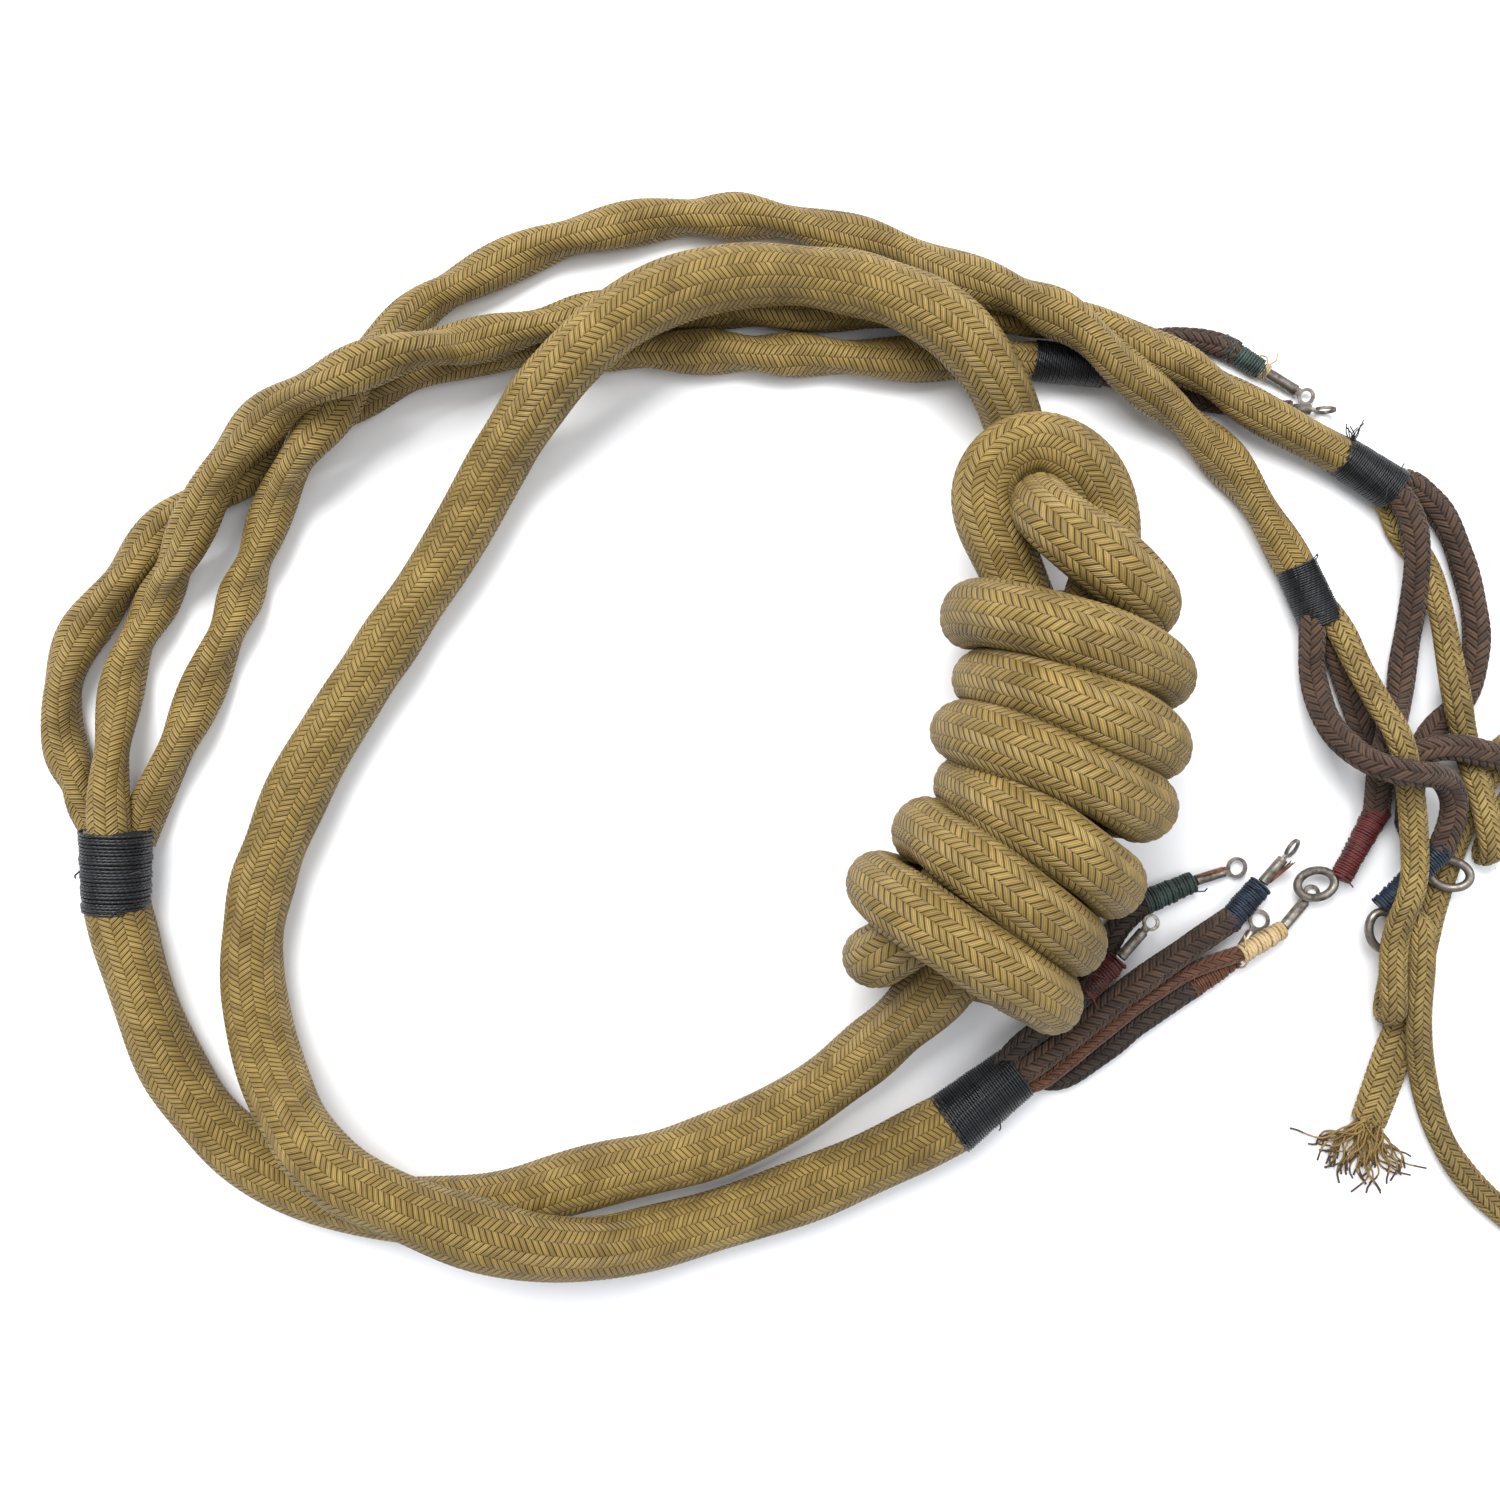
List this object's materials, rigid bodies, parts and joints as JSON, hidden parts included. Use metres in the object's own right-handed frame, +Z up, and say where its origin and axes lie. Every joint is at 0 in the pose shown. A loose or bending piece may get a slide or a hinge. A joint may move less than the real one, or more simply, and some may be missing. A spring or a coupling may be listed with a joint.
{
  "type": "braided instrument cord set",
  "caption": "Cotton-braided multi-way instrument cord tied in a hank knot, branching into thinner braided cords with bound leads, metal eyes, ring lugs and stay straps",
  "frame": {"origin": "centre of the bounding box's footprint, on the surface the cord set lies on", "axes": "+Z up off the surface; the coil's long way is along X; the tails and metal ends are towards +X, the branch whipping towards -X"},
  "size_m": [0.3631, 0.2409, 0.0549],
  "materials": {
    "trunk_braid": "glazed olive-tan cotton braid",
    "branch_braid": "glazed olive-tan cotton braid, finer",
    "stay_braid": "flat olive knitted strap",
    "brown_braid": "dark brown fuzzy cotton braid",
    "black_braid": "near-black cotton braid",
    "rust_braid": "thin rust-brown cotton braid",
    "black_thread": "waxed black whipping thread",
    "navy_thread": "navy binding thread",
    "red_thread": "dull red binding thread",
    "green_thread": "dark grey-green binding thread",
    "cream_thread": "cream binding thread",
    "rust_thread": "rust-orange binding thread",
    "tinned_metal": "dull tinned copper terminals",
    "bare_copper": "bare copper strands, tarnished",
    "conductor_bundle": "bundle of insulated conductors"
  },
  "bodies": {
    "root": {"binding_lower_green": "green_thread", "binding_middle_dark": "navy_thread", "binding_middle_red": "red_thread", "binding_tail_black": "green_thread", "binding_tail_brown": "navy_thread", "binding_tail_cream": "cream_thread", "binding_tail_orange": "rust_thread", "binding_tail_red": "red_thread", "binding_upper_navy": "navy_thread", "binding_upper_out": "navy_thread", "branch_core_lower": "conductor_bundle", "branch_core_middle": "conductor_bundle", "branch_core_upper": "conductor_bundle", "branch_lower": "branch_braid", "branch_lower_whipping": "black_thread", "branch_middle": "branch_braid", "branch_middle_whipping": "black_thread", "branch_upper": "branch_braid", "branch_upper_whipping": "black_thread", "breakout_whipping": "black_thread", "eye_middle_dark": "tinned_metal", "eye_middle_red": "tinned_metal", "eye_upper_navy": "tinned_metal", "eye_upper_out": "tinned_metal", "lead_lower_green": "brown_braid", "lead_lower_plain": "brown_braid", "lead_middle_dark": "brown_braid", "lead_middle_red": "brown_braid", "lead_upper_navy": "brown_braid", "lead_upper_out": "brown_braid", "lug_lower_green": "tinned_metal", "lug_lower_plain": "tinned_metal", "lug_tail_black": "tinned_metal", "lug_tail_brown": "tinned_metal", "lug_tail_cream": "tinned_metal", "lug_tail_orange": "tinned_metal", "lug_tail_red": "tinned_metal", "stay_middle_frayed_end": "stay_braid", "stay_strap_middle": "stay_braid", "stay_strap_upper": "stay_braid", "stay_upper_bound_end": "stay_braid", "strands_tail_black": "bare_copper", "strands_tail_brown": "bare_copper", "tail_lead_black": "black_braid", "tail_lead_brown": "brown_braid", "tail_lead_cream": "rust_braid", "tail_lead_orange": "black_braid", "tail_lead_red": "black_braid", "tail_whipping": "black_thread", "tie_lower_cream": "cream_thread", "trunk_core_a": "conductor_bundle", "trunk_core_b": "conductor_bundle", "trunk_knot": "trunk_braid", "trunk_run_a": "trunk_braid", "trunk_run_b": "trunk_braid"}
  },
  "joints": []
}
